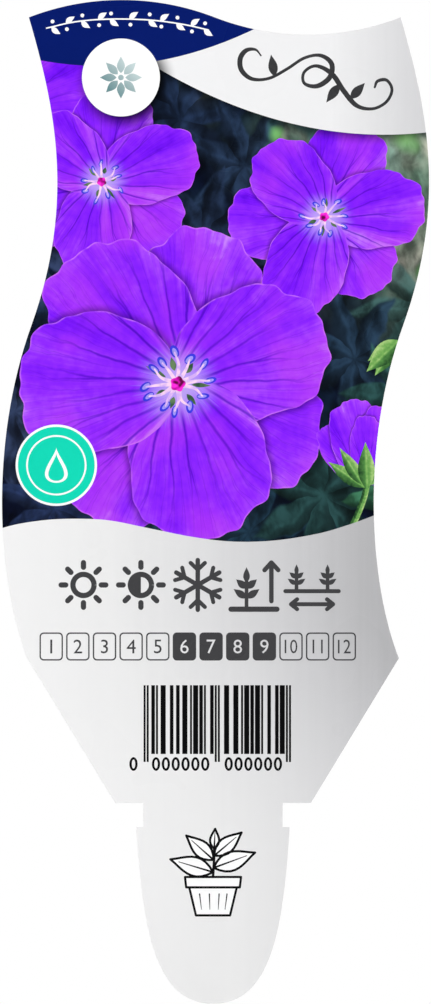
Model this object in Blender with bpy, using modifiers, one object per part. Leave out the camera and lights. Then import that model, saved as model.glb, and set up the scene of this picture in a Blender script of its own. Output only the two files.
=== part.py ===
"""A plant label: one stiff white plastic sheet, die-cut in a single blow.

The board sways between two parallel S-shaped sides and has a waved top edge. Its lower edges
taper to flat shoulders, which rest on the pot's rim. Below them a short neck sits in the slot
of the rim, and two barbs on the tongue lock it there. The tongue can also be pushed into soil.

The sheet stands upright in the XZ plane with its printed face towards -Y. The origin is at the
middle of the neck, level with the shoulders' undersides and halfway through the sheet.
"""

import math
from typing import NamedTuple

import bpy
from mathutils import Vector

# Sheet, in metres
SHEET_THICKNESS = 0.0005
EDGE_CHAMFER = 0.00006

# Swaying sides: one curve, drawn twice, half the board's width to the left and right
SIDE_X = 0.03172
TOP_CORNER_Z = 0.13405
TOP_CORNER_SWAY = 0.0003
TOP_CORNER_REACH = Vector((0.0043, -0.0149))
CROSSING_Z = 0.0814
CROSSING_SWAY = 0.0007
CROSSING_LEAN = 0.36
CROSSING_REACH_UP = 0.0229
CROSSING_REACH_DOWN = 0.0214
LOWER_CORNER_Z = 0.0247
LOWER_CORNER_REACH = Vector((-0.0051, 0.0130))

# Waved top edge: an arc up and an equal arc down
TOP_WAVE_RISE = 0.00297

# Shoulders, neck, barbs and tongue, each the same on both sides
SHOULDER_X = 0.0167
NECK_X = 0.0119
NECK_DROP = 0.0041
BARB_X = 0.0131
BARB_REACH = Vector((-0.0011, -0.0176))
TIP_Z = -0.03425
TIP_REACH = 0.0099

POINTS_PER_SPAN = 32
WELD_DISTANCE = 0.00002

# White polypropylene with a satin print varnish
PLASTIC_COLOUR = (0.84, 0.84, 0.84, 1.0)
PLASTIC_ROUGHNESS = 0.38


class Knot(NamedTuple):
    """A point of the outline with its two handles as offsets; no handle means a straight edge."""

    at: Vector
    arrive: Vector | None = None
    leave: Vector | None = None


def swaying_side(x):
    """One side of the board, from its top corner down to its lower corner."""
    down = Vector((-CROSSING_LEAN, -1.0)).normalized()
    return [
        Knot(Vector((x + TOP_CORNER_SWAY, TOP_CORNER_Z)), leave=TOP_CORNER_REACH),
        Knot(
            Vector((x + CROSSING_SWAY, CROSSING_Z)),
            arrive=-down * CROSSING_REACH_UP,
            leave=down * CROSSING_REACH_DOWN,
        ),
        Knot(Vector((x, LOWER_CORNER_Z)), arrive=LOWER_CORNER_REACH),
    ]


def turned_round(knots):
    """The same line, drawn the other way."""
    return [Knot(knot.at, knot.leave, knot.arrive) for knot in reversed(knots)]


def mirrored(knots):
    """The same line on the other side of the middle, drawn the other way."""
    flip = Vector((-1.0, 1.0))
    return [
        Knot(knot.at * flip, knot.leave and knot.leave * flip, knot.arrive and knot.arrive * flip)
        for knot in reversed(knots)
    ]


def waved_top(left_corner, right_corner):
    """The middle of the top edge, and the arcs' handle where each rises from a corner."""
    quarter = (right_corner.x - left_corner.x) / 4
    quarter_turn = math.atan(TOP_WAVE_RISE / quarter)
    radius = quarter / math.sin(2 * quarter_turn)
    reach = radius * math.tan(quarter_turn) * 4 / 3
    rise = Vector((math.cos(2 * quarter_turn), math.sin(2 * quarter_turn))) * reach
    fall = Vector((rise.x, -rise.y))
    return Knot((left_corner + right_corner) / 2, arrive=-fall, leave=fall), rise


def label_outline():
    """Every knot of the outline in turn, clockwise from the top edge's middle."""
    right = swaying_side(SIDE_X)
    left = turned_round(swaying_side(-SIDE_X))
    top_middle, rise = waved_top(left[-1].at, right[0].at)
    right[0] = right[0]._replace(arrive=-rise)
    left[-1] = left[-1]._replace(leave=rise)
    right_foot = [
        Knot(Vector((SHOULDER_X, 0.0))),
        Knot(Vector((NECK_X, 0.0))),
        Knot(Vector((NECK_X, -NECK_DROP))),
        Knot(Vector((BARB_X, -NECK_DROP)), leave=BARB_REACH),
    ]
    tip = Knot(
        Vector((0.0, TIP_Z)), arrive=Vector((TIP_REACH, 0.0)), leave=Vector((-TIP_REACH, 0.0))
    )
    return [top_middle, *right, *right_foot, tip, *mirrored(right_foot), *left]


def outline_curve(name, knots, thickness):
    """A filled, closed curve through the knots, as thick as the sheet."""
    curve = bpy.data.curves.new(name, "CURVE")
    curve.dimensions = "2D"
    curve.fill_mode = "BOTH"
    curve.extrude = thickness / 2
    curve.resolution_u = POINTS_PER_SPAN
    spline = curve.splines.new("BEZIER")
    spline.bezier_points.add(len(knots) - 1)
    spline.use_cyclic_u = True
    for point, knot in zip(spline.bezier_points, knots):
        point.handle_left_type = "FREE" if knot.arrive else "VECTOR"
        point.handle_right_type = "FREE" if knot.leave else "VECTOR"
        point.co = knot.at.to_3d()
        point.handle_left = (knot.at + (knot.arrive or Vector((0.0, 0.0)))).to_3d()
        point.handle_right = (knot.at + (knot.leave or Vector((0.0, 0.0)))).to_3d()
    return curve


def satin_plastic(name):
    """White polypropylene under a satin varnish."""
    material = bpy.data.materials.new(name)
    material.use_nodes = True
    shader = material.node_tree.nodes["Principled BSDF"]
    shader.inputs["Base Color"].default_value = PLASTIC_COLOUR
    shader.inputs["Roughness"].default_value = PLASTIC_ROUGHNESS
    shader.inputs["Metallic"].default_value = 0.0
    return material


def build():
    for leftover in list(bpy.data.objects):
        bpy.data.objects.remove(leftover, do_unlink=True)

    collection = bpy.data.collections.new("plant_label")
    bpy.context.scene.collection.children.link(collection)

    curve = outline_curve("label_sheet", label_outline(), SHEET_THICKNESS)
    curve.materials.append(satin_plastic("white_plastic"))
    sheet = bpy.data.objects.new("label_sheet", curve)
    sheet.rotation_euler.x = math.pi / 2
    collection.objects.link(sheet)

    weld = sheet.modifiers.new("weld caps", "WELD")
    weld.merge_threshold = WELD_DISTANCE
    chamfer = sheet.modifiers.new("die-cut edge", "BEVEL")
    chamfer.limit_method = "ANGLE"
    chamfer.angle_limit = math.radians(40)
    chamfer.width = EDGE_CHAMFER
    chamfer.segments = 1


build()
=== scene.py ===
"""A printed plant label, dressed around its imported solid.

The label is one white plastic sheet, printed on its face with a picture of violet flowers,
silver-grey panels and plain signs for care. Lengths on the printed face are in millimetres,
x to the right and z up from the middle of the neck, as on a printer's drawing.
"""

import math
import random

import bmesh
import bpy
import numpy as np
from mathutils import Matrix, Vector
from mathutils.geometry import delaunay_2d_cdt


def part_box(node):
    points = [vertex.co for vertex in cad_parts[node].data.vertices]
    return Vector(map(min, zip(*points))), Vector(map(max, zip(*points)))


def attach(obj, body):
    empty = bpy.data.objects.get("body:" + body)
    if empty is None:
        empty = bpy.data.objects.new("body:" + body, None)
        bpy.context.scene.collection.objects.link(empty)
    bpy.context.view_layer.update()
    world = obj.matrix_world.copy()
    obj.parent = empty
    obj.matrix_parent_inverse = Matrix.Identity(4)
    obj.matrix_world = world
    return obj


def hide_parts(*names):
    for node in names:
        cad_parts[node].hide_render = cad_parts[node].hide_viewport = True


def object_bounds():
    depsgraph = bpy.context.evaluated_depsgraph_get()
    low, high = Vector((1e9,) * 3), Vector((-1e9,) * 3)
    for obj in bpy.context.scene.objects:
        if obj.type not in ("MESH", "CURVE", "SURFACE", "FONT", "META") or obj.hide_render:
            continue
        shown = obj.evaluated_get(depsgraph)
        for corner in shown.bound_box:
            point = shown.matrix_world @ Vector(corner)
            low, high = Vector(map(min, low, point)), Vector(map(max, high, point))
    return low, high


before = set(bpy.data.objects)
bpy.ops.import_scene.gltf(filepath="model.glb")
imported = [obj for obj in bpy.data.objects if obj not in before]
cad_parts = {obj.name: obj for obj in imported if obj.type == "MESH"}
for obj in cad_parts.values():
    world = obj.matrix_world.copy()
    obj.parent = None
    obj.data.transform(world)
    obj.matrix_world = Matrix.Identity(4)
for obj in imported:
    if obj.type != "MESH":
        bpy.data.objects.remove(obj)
cad_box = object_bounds()

# Studio.
# The label is seen square on, as flat artwork is, by a camera with no perspective. It stands
# on a pale floor between two large soft boxes, with a third behind it for its back.
MM = 0.001
MM_PER_PIXEL = 25.08 / 147.0
PHOTO_WIDTH_PX, PHOTO_HEIGHT_PX = 431, 1004
NECK_X_PX, NECK_Z_PX = 213.0, 803.0
CAMERA_DISTANCE = 0.6
FLOOR_GAP = 0.3 * MM
FLOOR_HALF_SIDE = 5.0
FLOOR_WHITE = 0.68
FLOOR_ROUGHNESS = 0.9
SOFT_BOX_SIDE = 0.55
SOFT_BOX_AIM = (0.0, 0.0, 0.04)
SOFT_BOXES = {
    "left soft box": ((-0.62, -0.52, 0.22), 4.62),
    "right soft box": ((0.62, -0.52, 0.22), 4.62),
    "rear soft box": ((0.42, 0.52, 0.24), 4.5),
}
ROOM_LIGHT = 0.30
CARD_LIGHT = 0.01
CARD_EDGES = (0.57, 0.82)
TOWARDS_CAMERA = (0.0, -1.0, 0.0)


class Field:
    """A shader node's output. Sums written with it are wired as Math nodes."""

    def __init__(self, socket):
        self.socket = socket
        self.tree = socket.id_data

    def __add__(self, other):
        return calc("ADD", self, other)

    def __sub__(self, other):
        return calc("SUBTRACT", self, other)

    def __rsub__(self, other):
        return calc("SUBTRACT", other, self)

    def __mul__(self, other):
        return calc("MULTIPLY", self, other)

    def __truediv__(self, other):
        return calc("DIVIDE", self, other)

    __radd__ = __add__
    __rmul__ = __mul__


def feed(socket, value):
    """Gives a socket a plain value or a field. None leaves it as it is."""
    if isinstance(value, Field):
        value.tree.links.new(value.socket, socket)
    elif value is not None:
        socket.default_value = value


def wired(kind, *inputs, tree=None, out=0, **settings):
    """Adds a shader node, sets it and feeds its inputs in turn. It goes where its fields are."""
    tree = tree or next(value.tree for value in inputs if isinstance(value, Field))
    node = tree.nodes.new("ShaderNode" + kind)
    for name, value in settings.items():
        setattr(node, name, value)
    for socket, value in zip(node.inputs, inputs):
        feed(socket, value)
    return Field(node.outputs[out])


def calc(operation, *values):
    """One sum on numbers that vary over the surface."""
    return wired("Math", *values, operation=operation)


def place_calc(operation, *places):
    """One sum on places. A distance, a length or a dot product comes out as a number."""
    number = operation in ("DISTANCE", "LENGTH", "DOT_PRODUCT")
    return wired("VectorMath", *places, out=int(number), operation=operation)


def eased(value, low, high, at_low=0.0, at_high=1.0):
    """A smooth step from one value at low to another at high."""
    return wired("MapRange", value, low, high, at_low, at_high, interpolation_type="SMOOTHSTEP")


def add_object(name, data):
    """Puts a new object in the scene."""
    added = bpy.data.objects.new(name, data)
    bpy.context.scene.collection.objects.link(added)
    return added


camera_data = bpy.data.cameras.new("camera")
camera_data.type = "ORTHO"
camera_data.ortho_scale = PHOTO_HEIGHT_PX * MM_PER_PIXEL * MM
camera = add_object("camera", camera_data)
camera.location = (
    (PHOTO_WIDTH_PX / 2 - NECK_X_PX) * MM_PER_PIXEL * MM,
    -CAMERA_DISTANCE,
    (NECK_Z_PX - PHOTO_HEIGHT_PX / 2) * MM_PER_PIXEL * MM,
)
camera.rotation_euler = (math.pi / 2, 0.0, 0.0)
bpy.context.scene.camera = camera
bpy.context.scene.view_settings.view_transform = "Standard"

for box_name, (box_place, box_power) in SOFT_BOXES.items():
    lamp_data = bpy.data.lights.new(box_name, "AREA")
    lamp_data.shape = "SQUARE"
    lamp_data.size = SOFT_BOX_SIDE
    lamp_data.energy = box_power
    lamp = add_object(box_name, lamp_data)
    lamp.location = box_place
    lamp.rotation_euler = (Vector(SOFT_BOX_AIM) - lamp.location).to_track_quat("-Z", "Y").to_euler()

# The room is white to the camera. A dark card behind the camera keeps its glare off the print.
world = bpy.data.worlds.new("studio")
world.use_nodes = True
sky = world.node_tree
sky.nodes.clear()
towards_card = place_calc("DOT_PRODUCT", wired("TexCoord", tree=sky), TOWARDS_CAMERA)
room = wired("Background", None, eased(towards_card, *CARD_EDGES, ROOM_LIGHT, CARD_LIGHT))
backdrop = wired("Background", (1.0, 1.0, 1.0, 1.0), 1.0, tree=sky)
studio_light = wired("MixShader", wired("LightPath", tree=sky), room, backdrop)
feed(sky.nodes.new("ShaderNodeOutputWorld").inputs[0], studio_light)
bpy.context.scene.world = world

floor_bm = bmesh.new()
bmesh.ops.create_grid(floor_bm, x_segments=1, y_segments=1, size=FLOOR_HALF_SIDE)
bmesh.ops.translate(floor_bm, vec=(0.0, 0.0, cad_box[0].z - FLOOR_GAP), verts=floor_bm.verts)
floor_mesh = bpy.data.meshes.new("floor")
floor_bm.to_mesh(floor_mesh)
floor_bm.free()
floor = add_object("floor", floor_mesh)
floor_paint = bpy.data.materials.new("pale floor")
floor_paint.use_nodes = True
floor_inputs = floor_paint.node_tree.nodes["Principled BSDF"].inputs
floor_inputs["Base Color"].default_value = (FLOOR_WHITE, FLOOR_WHITE, FLOOR_WHITE, 1.0)
floor_inputs["Roughness"].default_value = FLOOR_ROUGHNESS
floor_mesh.materials.append(floor_paint)

# Label sheet.
# One sheet of stiff white polypropylene, half a millimetre thick with its print. It is
# die-cut in one blow, which leaves its edges bare, white and slightly rolled.
PRINT_THICKNESS = 0.04
PRINT_BITE = 0.005
EDGE_ROLL = 0.06
EDGE_STEPS = 3
MERGE_DISTANCE = 0.001
SHEET_WHITE = (0.84, 0.84, 0.835, 1.0)
ORIGIN = (0.0, 0.0, 0.0)
HAIR_SCRATCHES = ((0.5, 3.0), (-1.05, 11.0), (1.3, 23.0))
BUMP_STRENGTH = 0.25


def edge_loops(bm):
    """The closed chains of a bmesh's border edges, each as the places of its corners in turn."""
    bm.edges.index_update()
    left = {edge.index: edge for edge in bm.edges if len(edge.link_faces) < 2}
    loops = []
    while left:
        edge = left.popitem()[1]
        corner = edge.verts[0]
        loop = []
        while edge is not None:
            loop.append(corner.co.copy())
            corner = edge.other_vert(corner)
            edge = next((other for other in corner.link_edges if left.pop(other.index, None)), None)
        loops.append(loop)
    return loops


def section_of(node, y):
    """A bmesh of the outline where a plane of that y cuts a CAD node, in millimetres."""
    bm = bmesh.new()
    bm.from_mesh(node.data)
    bmesh.ops.scale(bm, vec=(1 / MM, 1 / MM, 1 / MM), verts=bm.verts)
    bmesh.ops.remove_doubles(bm, verts=bm.verts, dist=MERGE_DISTANCE)
    bmesh.ops.bisect_plane(
        bm,
        geom=[*bm.verts, *bm.edges, *bm.faces],
        dist=MERGE_DISTANCE / 10,
        plane_co=(0.0, y, 0.0),
        plane_no=(0.0, 1.0, 0.0),
        clear_inner=True,
        clear_outer=True,
    )
    bmesh.ops.remove_doubles(bm, verts=bm.verts, dist=MERGE_DISTANCE)
    return bm


def thicken(bm, faces, depth):
    """Pulls flat faces along y by a depth, so that they close round a solid."""
    pulled = bmesh.ops.extrude_face_region(bm, geom=faces, use_keep_orig=True)["geom"]
    corners = [item for item in pulled if isinstance(item, bmesh.types.BMVert)]
    bmesh.ops.translate(bm, vec=(0.0, depth, 0.0), verts=corners)
    bmesh.ops.recalc_face_normals(bm, faces=bm.faces)


def to_metres(bm, mesh):
    """Finishes a bmesh drawn in millimetres as a mesh in metres."""
    bmesh.ops.scale(bm, vec=(MM, MM, MM), verts=bm.verts)
    bm.to_mesh(mesh)
    bm.free()


cad_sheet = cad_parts["label_sheet"]
cad_low, cad_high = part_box("label_sheet")
front_y, back_y = cad_low.y / MM, cad_high.y / MM

print_edge_bm = section_of(cad_sheet, front_y + MERGE_DISTANCE)
print_edge = [Vector((corner.x, corner.z)) for corner in edge_loops(print_edge_bm)[0]]
print_edge_bm.free()

sheet_bm = section_of(cad_sheet, (front_y + back_y) / 2)
sheet_back = bmesh.ops.contextual_create(sheet_bm, geom=sheet_bm.edges[:])["faces"][0]
bmesh.ops.translate(sheet_bm, vec=(0.0, (back_y - front_y) / 2, 0.0), verts=sheet_bm.verts)
thicken(sheet_bm, [sheet_back], front_y + PRINT_THICKNESS - PRINT_BITE - back_y)
rims = [edge for edge in sheet_bm.edges if abs(edge.verts[0].co.y - edge.verts[1].co.y) < MERGE_DISTANCE]
bmesh.ops.bevel(
    sheet_bm,
    geom=rims,
    affect="EDGES",
    offset_type="OFFSET",
    offset=EDGE_ROLL,
    segments=EDGE_STEPS,
    profile=0.5,
    material=-1,
)
for broad in [face for face in sheet_bm.faces if len(face.verts) > 4]:
    border, outwards = broad.edges[:], broad.normal.copy()
    bmesh.ops.delete(sheet_bm, geom=[broad], context="FACES_ONLY")
    bmesh.ops.triangle_fill(sheet_bm, use_beauty=True, edges=border, normal=outwards)
for face in sheet_bm.faces:
    face.smooth = abs(face.normal.y) < 0.999
sheet_mesh = bpy.data.meshes.new("sheet_white")
to_metres(sheet_bm, sheet_mesh)
label_sheet = add_object("sheet_white", sheet_mesh)


def new_group(name, inputs, outputs):
    """An empty shader node group, with its two ends. Each value tells its socket's kind."""
    group = bpy.data.node_groups.new(name, "ShaderNodeTree")
    for in_out, values in (("INPUT", inputs), ("OUTPUT", outputs)):
        for socket_name, value in values.items():
            kind = {3: "Vector", 4: "Color"}[len(value)] if isinstance(value, tuple) else "Float"
            socket = group.interface.new_socket(
                name=socket_name, in_out=in_out, socket_type="NodeSocket" + kind
            )
            socket.default_value = value
    entry = [Field(socket) for socket in group.nodes.new("NodeGroupInput").outputs]
    return group, entry, group.nodes.new("NodeGroupOutput").inputs


def all_outputs(field):
    """Every output of the node that a field comes from."""
    return [Field(socket) for socket in field.socket.node.outputs]


def use_group(group, *inputs):
    """Places a node group and feeds it. Gives its outputs."""
    return all_outputs(wired("Group", *inputs, node_tree=group))


def mapped(place, scale=(1.0, 1.0, 1.0), shift=ORIGIN, turn=0.0):
    """A place moved, turned about y and stretched for a pattern."""
    return wired("Mapping", place, shift, (0.0, turn, 0.0), scale)


def noise(place, scale, detail=2.0):
    """Soft random mottling between 0 and 1."""
    return wired("TexNoise", place, None, scale, detail)


def mixed(share, first, second, blend_type="MIX"):
    """Two colours mixed by a share."""
    inputs = (share, *[None] * 5, first, second)
    return wired("Mix", *inputs, out=2, data_type="RGBA", blend_type=blend_type)


def times(colour, light):
    """A colour made darker or lighter by a light."""
    return mixed(1.0, colour, light, "MULTIPLY")


# The skin of the sheet: calender grain, faint gloss patches and a few hair scratches.
skin, (skin_place, skin_rough, skin_scratches, *_), skin_out = new_group(
    "calendered skin",
    {"Place": ORIGIN, "Roughness": 0.4, "Scratches": 0.5},
    {"Roughness": 0.0, "Height": 0.0},
)
hairs = []
for hair_turn, hair_shift in HAIR_SCRATCHES:
    combed = mapped(skin_place, (0.035, 1.0, 1.6), (hair_shift, 0.0, 0.0), hair_turn)
    hairs.append(eased(calc("ABSOLUTE", noise(combed, 1.0, 1.0) - 0.5), 0.0, 0.006, 1.0, 0.0))
any_hair = calc("MAXIMUM", calc("MAXIMUM", hairs[0], hairs[1]), hairs[2])
worn = eased(noise(skin_place, 0.11), 0.52, 0.68)
scratch = any_hair * worn * skin_scratches
gloss_patches = (noise(skin_place, 0.06) - 0.5) * 0.06
feed(skin_out[0], scratch * 0.18 + (gloss_patches + skin_rough))
feed(skin_out[1], scratch * -0.8 + noise(skin_place, 5.0, 3.0))

# How ink lies on plastic: a faint mottle, coarse and fine.
ink_lay, (lay_place, lay_colour, lay_mottle, *_), lay_out = new_group(
    "ink lay",
    {"Place": ORIGIN, "Colour": (1.0, 1.0, 1.0, 1.0), "Mottle": 0.03},
    {"Colour": (1.0, 1.0, 1.0, 1.0)},
)
cloud = noise(lay_place, 0.22, 3.0) + noise(lay_place, 2.4, 2.0)
feed(lay_out[0], times(lay_colour, (cloud - 1.0) * lay_mottle + 1.0))


def new_finish(name, colour, roughness=0.28, mottle=0.05, scratches=0.25, gloss=0.12, grain_depth=0.01):
    """A finish for the sheet or an ink. The colour is plain, or a function that wires one."""
    finish = bpy.data.materials.new(name)
    finish.use_nodes = True
    tree = finish.node_tree
    inputs = tree.nodes["Principled BSDF"].inputs
    place = mapped(wired("TexCoord", tree=tree, out=3), (1 / MM, 1 / MM, 1 / MM))
    wanted = colour(place) if callable(colour) else colour
    feed(inputs["Base Color"], use_group(ink_lay, place, wanted, mottle)[0])
    rough, height = use_group(skin, place, roughness, scratches)
    feed(inputs["Roughness"], rough)
    feed(inputs["Normal"], wired("Bump", BUMP_STRENGTH, grain_depth * MM, None, height))
    feed(inputs["Specular IOR Level"], gloss)
    return finish


bare_plastic = new_finish(
    "white polypropylene", SHEET_WHITE, roughness=0.42, scratches=1.0, gloss=0.5, grain_depth=0.06
)
sheet_mesh.materials.append(bare_plastic)
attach(label_sheet, "root")
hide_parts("label_sheet")

# Picture ground.
# The picture is printed first, over the whole board. Its ground is foliage out of focus, from
# navy shade at the left to grey-green light at the upper right.
STUDIO_LIGHT = 1.05
PAST_THE_BOARD = (-60, 60, -60, 160)
DISC_MIDDLE = (-15.71, 123.78)
DISC_RADIUS = 6.65
TOP_PANEL_DIP = (29.31, 114.02, 0.00756)
SHADE_MIDDLE = (DISC_MIDDLE[0] + 0.75, 0.0, DISC_MIDDLE[1] - 0.75)
FOLIAGE_LEAVES = [
    # centre x, z, turn, size, fingers, blur, colour, strength
    (-31.0, 96.0, 0.3, 13.0, 7.0, 0.026, (44, 56, 86), 0.9),
    (-24.0, 84.0, 1.0, 12.0, 7.0, 0.022, (30, 46, 70), 0.9),
    (-38.0, 84.0, -0.2, 12.0, 5.0, 0.024, (28, 44, 66), 0.9),
    (-34.0, 66.0, 0.5, 13.0, 7.0, 0.028, (42, 54, 82), 0.95),
    (-27.0, 50.0, -0.3, 12.0, 7.0, 0.022, (34, 48, 82), 0.95),
    (-12.0, 46.0, 0.2, 13.0, 7.0, 0.020, (28, 52, 70), 0.9),
    (-6.0, 117.0, 0.5, 13.0, 7.0, 0.034, (30, 46, 74), 0.85),
    (6.0, 109.0, -0.4, 12.0, 7.0, 0.030, (32, 48, 72), 0.9),
    (-1.0, 97.0, 1.1, 12.0, 7.0, 0.030, (30, 44, 68), 0.9),
    (36.0, 84.0, -0.7, 13.0, 7.0, 0.034, (54, 86, 84), 0.8),
    (37.0, 100.0, 0.2, 15.0, 5.0, 0.080, (122, 148, 128), 0.5),
    (27.0, 118.0, 0.9, 14.0, 7.0, 0.090, (112, 142, 132), 0.5),
    (13.0, 119.0, -0.2, 10.0, 5.0, 0.050, (48, 80, 84), 0.8),
    (24.0, 76.0, 0.6, 12.0, 7.0, 0.030, (32, 52, 72), 0.9),
    (33.0, 68.0, 1.3, 12.0, 7.0, 0.022, (42, 78, 76), 0.9),
    (6.0, 46.0, 0.4, 13.0, 7.0, 0.020, (26, 48, 64), 0.95),
    (19.0, 52.0, -0.3, 14.0, 7.0, 0.024, (34, 64, 64), 0.95),
    (35.0, 53.0, 0.1, 13.0, 7.0, 0.022, (58, 112, 82), 0.9),
]
LEAF_SHADE, LEAF_LIGHT = 0.08, 1.1
FAR_BUDS = [
    # centre x, z, radius
    (33.0, 113.5, 2.3),
    (26.5, 110.0, 1.5),
    (37.5, 90.0, 2.0),
    (11.0, 113.5, 1.3),
]
FAR_BUD_GREEN = (128, 200, 112)
NIGHT_TONES = [(0.36, (1, 4, 26)), (0.52, (5, 14, 34)), (0.64, (14, 30, 44))]
DAY_TONES = [(0.34, (42, 68, 76)), (0.5, (100, 128, 110)), (0.66, (188, 180, 166))]
BEND = 4.0
inks = []


def shown(red, green, blue):
    """The paint that shows as this screen colour, 0 to 255, under the soft boxes."""
    linear = [((part / 255 + 0.055) / 1.055) ** 2.4 for part in (red, green, blue)]
    return (*(part / STUDIO_LIGHT for part in linear), 1.0)


def ramp(value, stops):
    """A colour that runs through screen colours at given values, in rising order."""
    colour = wired("ValToRGB", value)
    band = colour.socket.node.color_ramp
    for number, (position, tone) in enumerate(stops[:1] + stops[-1:] + stops[1:-1]):
        stop = band.elements[number] if number < 2 else band.elements.new(position)
        stop.position = position
        stop.color = shown(*tone)
    return colour


def split(place):
    """A place's x, y and z."""
    return all_outputs(wired("SeparateXYZ", place))


def new_film(name, finish):
    """A printed film with no areas yet. The printing section gives it its mesh."""
    film = add_object(name, bpy.data.meshes.new(name))
    film.data.materials.append(finish)
    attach(film, "root")
    return film


def lay(film, outlines, odd=False, **maps):
    """Lays ink inside outlines, over all the ink laid before. Odd leaves out what two outlines
    hold. Each map gives a UV map's place for a place on the face."""
    inks.append((film, outlines, odd, maps))


def box_outline(left, right, bottom, top, corner=0.0):
    """A rectangle, with round corners if wanted."""
    if not corner:
        return [Vector(spot) for spot in ((left, bottom), (right, bottom), (right, top), (left, top))]
    outline = []
    inner_x, inner_z = (right - corner, left + corner), (top - corner, bottom + corner)
    for quarter, (side_x, side_z) in enumerate(((0, 0), (1, 0), (1, 1), (0, 1))):
        for step in range(6):
            turn = math.tau / 4 * (quarter + step / 5)
            heading = Vector((math.cos(turn), math.sin(turn)))
            outline.append(Vector((inner_x[side_x], inner_z[side_z])) + corner * heading)
    return outline


# The soft shade that is printed round the disc and below the top panel, from 0 to 1.
printed_shade, (shade_place, below_panel, *_), shade_out = new_group(
    "printed shade", {"Place": ORIGIN, "Below panel": 1.0}, {"Shade": 0.0}
)
shade_x, _, shade_z = split(shade_place)
from_disc = place_calc("DISTANCE", wired("CombineXYZ", shade_x, 0.0, shade_z), SHADE_MIDDLE)
disc_shade = eased(from_disc, DISC_RADIUS - 1.2, DISC_RADIUS + 2.3, 0.05, 1.0)
panel_edge = calc("POWER", shade_x - TOP_PANEL_DIP[0], 2.0) * TOP_PANEL_DIP[2] + TOP_PANEL_DIP[1]
panel_shade = eased(panel_edge - shade_z, -0.6, 2.1, 0.18, 1.0)
feed(shade_out[0], disc_shade * calc("MAXIMUM", panel_shade, 1.0 - below_panel))

# A leaf of narrow fingers out of focus. Its mask is 1 on the leaf, and its light falls across
# each finger from one side, with a paler rib.
soft_leaf, leaf_in, leaf_out = new_group(
    "soft leaf",
    {"Place": ORIGIN, "Centre": ORIGIN, "Turn": 0.0, "Size": 12.0, "Fingers": 5.0, "Blur": 0.1},
    {"Mask": 0.0, "Light": 0.0},
)
leaf_place, leaf_centre, leaf_turn, leaf_size, leaf_fingers, leaf_blur, *_ = leaf_in
across_leaf, _, up_leaf = split(place_calc("SUBTRACT", leaf_place, leaf_centre))
half_finger = calc("DIVIDE", math.pi, leaf_fingers)
leaf_bearing = calc("ARCTAN2", across_leaf, up_leaf) - leaf_turn
off_axis = calc("WRAP", leaf_bearing, half_finger, half_finger * -1.0)
span = place_calc("LENGTH", wired("CombineXYZ", across_leaf, up_leaf, 0.0)) / leaf_size
along_finger = span * calc("COSINE", off_axis)
off_rib = span * calc("SINE", off_axis)
finger_taper = 1.0 - calc("POWER", along_finger, 1.7)
beyond = calc("ABSOLUTE", off_rib) - (along_finger * 0.30 + 0.09) * finger_taper
feed(leaf_out[0], eased(beyond, leaf_blur * -1.0, leaf_blur, 1.0, 0.0))
rib_light = eased(calc("ABSOLUTE", off_rib), 0.0, 0.045, 0.25, 0.0)
feed(leaf_out[1], eased(off_rib, -0.16, 0.16, 0.25, 0.9) + rib_light)


def foliage_colour(place):
    """Blurred leaves over shade, dappled with light."""
    drift = noise(mapped(place, (1.0, 1.0, 0.8)), 0.07, 3.0)
    x, _, z = split(place)
    lightness = eased(z * 0.7 + x, 72.0, 116.0)
    colour = mixed(lightness, ramp(drift, NIGHT_TONES), ramp(drift, DAY_TONES))
    wander = place_calc("SUBTRACT", wired("TexNoise", place, None, 0.16, out=1), (0.5, 0.5, 0.5))
    bent = place_calc("ADD", place, place_calc("MULTIPLY", wander, (BEND, BEND, BEND)))
    for x, z, turn, size, fingers, blur, tint, strength in FOLIAGE_LEAVES:
        mask, light = use_group(soft_leaf, bent, (x, 0.0, z), turn, size, fingers, blur)
        dark, lit = (shown(*[share * part for part in tint]) for share in (LEAF_SHADE, LEAF_LIGHT))
        colour = mixed(mask * strength, colour, mixed(light, dark, lit))
    dapple = noise(mapped(bent, (1.3, 1.0, 0.8), (5.0, 0.0, 0.0), 0.4), 0.26, 4.0)
    colour = times(colour, eased(dapple, 0.34, 0.66, 0.42, 1.55))
    for x, z, radius in FAR_BUDS:
        from_bud = place_calc("DISTANCE", bent, (x, 0.0, z))
        colour = mixed(eased(from_bud, 0.2 * radius, 1.6 * radius, 0.75, 0.0), colour, shown(*FAR_BUD_GREEN))
    return times(colour, use_group(printed_shade, place, 1.0)[0])


picture_ground = new_film("picture_ground", new_finish("foliage print", foliage_colour))
lay(picture_ground, [box_outline(*PAST_THE_BOARD)])

# Blooms.
# The picture's violet flowers, each of broad overlapping petals round a pale throat. They are
# printed in four-colour process, so their veins, folds and shade are ink like the rest.
PETAL_MIDDLE = 0.57
PETAL_SQUARENESS = 2.25
PETAL_POINTS = 160
RUFFLES = ((2, 0.40, 0.6), (5, 0.34, 2.1), (8, 0.36, 4.4), (13, 0.24, 1.2), (22, 0.13, 3.3))
PETAL_TONES = [
    (0.0, (92, 6, 226)),
    (0.26, (120, 20, 248)),
    (0.5, (144, 40, 255)),
    (0.74, (168, 72, 255)),
    (1.0, (206, 140, 255)),
]
BLUSH_TONE = (186, 58, 240)
THROAT_TONE = (190, 168, 242)
VEIN_TONE = (70, 0, 190)
LIP_TONE = (216, 124, 246)
LIGHT_BEARING = 40
# Each kind of petal's width and ruffle, as shares of its length.
FAR_PETAL = (0.82, 0.08)
UPPER_PETAL = (0.84, 0.08)
MAIN_PETAL = (0.84, 0.085)
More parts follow.
